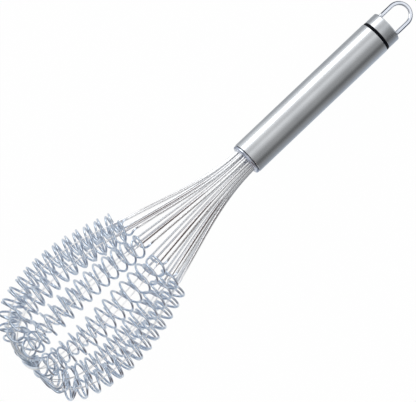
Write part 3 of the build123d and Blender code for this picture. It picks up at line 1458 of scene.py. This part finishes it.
    def _sheet(self) -> None:
        """White sheet that keeps a faint shadow."""
        half = self.sheet_half
        corners = [(-half, -half, 0), (half, -half, 0), (half, half, 0), (-half, half, 0)]
        mesh = bpy.data.meshes.new("studio_sheet")
        mesh.from_pydata(corners, [], [(0, 1, 2, 3)])
        made = empty_material("matt_white_paper_sheet")
        tree = made.node_tree
        share = self._shown_share(tree, self.sheet_shown, self.sheet_gloss)
        paper = add_node(tree, "BsdfDiffuse", {"Color": linear_colour(self.sheet_colour)})
        white = add_node(tree, "Emission", {"Color": WHITE, "Strength": 1.0})
        blend = add_node(tree, "MixShader", links={0: share, 1: paper, 2: white})
        add_node(tree, "OutputMaterial", links={"Surface": blend})
        mesh.materials.append(made)
        sheet = add_object("studio_sheet", mesh)

    def _soft_box(self) -> None:
        """Soft box that gives the handle its white band."""
        data = bpy.data.lights.new("left_soft_box", "AREA")
        data.shape = "RECTANGLE"
        data.size, data.size_y = self.box_size
        data.energy = self.box_power
        lamp = add_object("left_soft_box", data)
        place = Vector(self.box_place)
        back = place.normalized()
        right = Vector((1, 0, 0))
        turn = Matrix((right, back.cross(right), back)).transposed().to_4x4()
        lamp.matrix_world = Matrix.Translation(place) @ turn

    def _tent_cards(self, whisk: WhiskFrame) -> list:
        """Stripes of the tent over the handle, shaded from one to the next.

        Args:
            whisk: The whisk's frame.

        Returns:
            Corners in metres and the colour at each, for every card.
        """
        cards, out = [], self.tent_radius
        low, high = self.tent_ends
        for first, second in zip(self.tent_shades, self.tent_shades[1:]):
            corners, levels = [], []
            for (turn, level), end in ((first, low), (first, high), (second, high), (second, low)):
                bearing = math.radians(turn)
                corners.append((out * math.cos(bearing), out * math.sin(bearing), end))
                levels.append((level, level, level))
            cards.append((whisk.place(np.array(corners)), levels))
        return cards

    def _sheet_cards(self) -> list:
        """Grey stripes of card on the sheet beside the handle, in the row frame: a painted shade of
        the sheet there, which the tube's edges mirror.

        Returns:
            Corners in metres and the colour at each, for every card.
        """
        cards, lift = [], self.stripe_lift
        low, high = self.stripe_ends
        for stripes in (self.left_stripes, self.right_stripes):
            for (out, shade), (after, next_shade) in zip(stripes, stripes[1:]):
                ring = [(low, out), (high, out), (high, after), (low, after)]
                corners = np.array([(x, y, lift) for x, y in ring]) * MILLIMETRE
                cards.append((corners, [shade, shade, next_shade, next_shade]))
        return cards

    def _hood_cards(self, whisk: WhiskFrame) -> list:
        """White hood with dark skirts over the hanging loop.

        Args:
            whisk: The whisk's frame.

        Returns:
            Corners in metres and the colour at each, for every card.
        """
        low, high = self.hood_ends
        half, top, white = self.hood_half, self.hood_top, self.hood_white
        cards = [([(top, -half, low), (top, -half, high), (top, half, high), (top, half, low)], white)]
        skirt = ((top, self.hood_skirt, white), (self.hood_skirt, self.hood_foot, self.hood_dark))
        walls = [((-half, low), (-half, high)), ((half, low), (half, high))]
        walls.append(((-half, high), (half, high)))
        for first, second in walls:
            for upper, lower, shade in skirt:
                corners = [(upper, *first), (upper, *second), (lower, *second), (lower, *first)]
                cards.append((corners, shade))
        return [(whisk.place(np.array(corners)), [shade] * 4) for corners, shade in cards]

    def _ring_cards(self) -> list:
        """Open ring of card round the balloon, in the row frame.

        Returns:
            Corners in metres and the colour at each, for every card.
        """
        middle, foot = self.ring_place
        radius, cards = self.ring_radius, []
        for first, second in zip(self.ring_tints, self.ring_tints[1:]):
            for upper, lower in zip(self.ring_levels, self.ring_levels[1:]):
                corners, shades = [], []
                ring = ((first, upper), (second, upper), (second, lower), (first, lower))
                for (turn, tint), (angle, grey) in ring:
                    bearing, rise = math.radians(turn), math.radians(angle)
                    x = middle + radius * math.cos(bearing)
                    corners.append((x, radius * math.sin(bearing), foot + radius * math.tan(rise)))
                    shades.append(tuple(grey * part for part in tint))
                cards.append((np.array(corners) * MILLIMETRE, shades))
        return cards

    def _brown_cards(self, whisk: WhiskFrame) -> list:
        """Brown card on the tent's end, which the straight wires on the near side mirror.

        Args:
            whisk: The whisk's frame.

        Returns:
            Corners in metres and the colour at each, for every card.
        """
        low, high, half = self.brown_card
        end = self.tent_ends[0]
        ring = [(low, -half), (low, half), (high, half), (high, -half)]
        corners = [(near, side, end) for near, side in ring]
        return [(whisk.place(np.array(corners)), [self.brown_shade] * 4)]

    def _cards(self, whisk: WhiskFrame) -> None:
        """Hang all the cards, which show in gloss alone.

        Args:
            whisk: The whisk's frame.
        """
        cards = self._tent_cards(whisk) + self._sheet_cards()
        cards += self._hood_cards(whisk) + self._ring_cards() + self._brown_cards(whisk)
        points = [tuple(corner) for corners, _ in cards for corner in corners]
        shades = [(*shade, 1.0) for _, levels in cards for shade in levels]
        faces = [tuple(range(at, at + 4)) for at in range(0, len(points), 4)]
        mesh = bpy.data.meshes.new("studio_cards")
        mesh.from_pydata(points, [], faces)
        layer = mesh.color_attributes.new("card_shade", "FLOAT_COLOR", "POINT")
        layer.data.foreach_set("color", np.array(shades, np.float32).ravel())
        made = empty_material("matt_studio_card")
        tree = made.node_tree
        shade = add_node(tree, "Attribute", {"attribute_name": "card_shade"})
        card = add_node(tree, "Emission", {"Strength": 1.0}, {"Color": shade})
        add_node(tree, "OutputMaterial", links={"Surface": card})
        mesh.materials.append(made)
        hung = add_object("studio_cards", mesh)
        hung.visible_camera = hung.visible_diffuse = hung.visible_transmission = False
        hung.visible_volume_scatter = hung.visible_shadow = False

    def _sky(self) -> None:
        """Plain sky, white to the eye and in gloss, softer on matt surfaces."""
        world = bpy.data.worlds.new("studio_sky")
        bpy.context.scene.world = world
        world.use_nodes = True
        tree = world.node_tree
        tree.nodes.clear()
        share = self._shown_share(tree, 1.0, 1.0)
        span = {"To Min": self.sky_light, "To Max": 1.0}
        strength = add_node(tree, "MapRange", span, {"Value": share})
        sky = add_node(tree, "Background", {"Color": WHITE}, {"Strength": strength})
        add_node(tree, "OutputWorld", links={"Surface": sky})


def main() -> None:
    """Build the camera, the whisk and the studio, and note the sizes."""
    logging.basicConfig(level=logging.INFO, format="%(name)s: %(message)s")
    whisk = WhiskFrame.from_record(frame["record"], tip_depth=209.95)
    PhotoCamera().build(whisk)
    balloon = Balloon()
    balloon.build(whisk)
    Handle(slot_azimuths=balloon.slots()).build(whisk)
    anchor = frame["nodes"]["wire_anchor"]
    anchor.data.materials.clear()
    anchor.data.materials.append(CAST_RESIN.material())
    Studio().build(whisk)
    bpy.context.scene.view_settings.view_transform = "Standard"


if __name__ == "__main__":
    main()
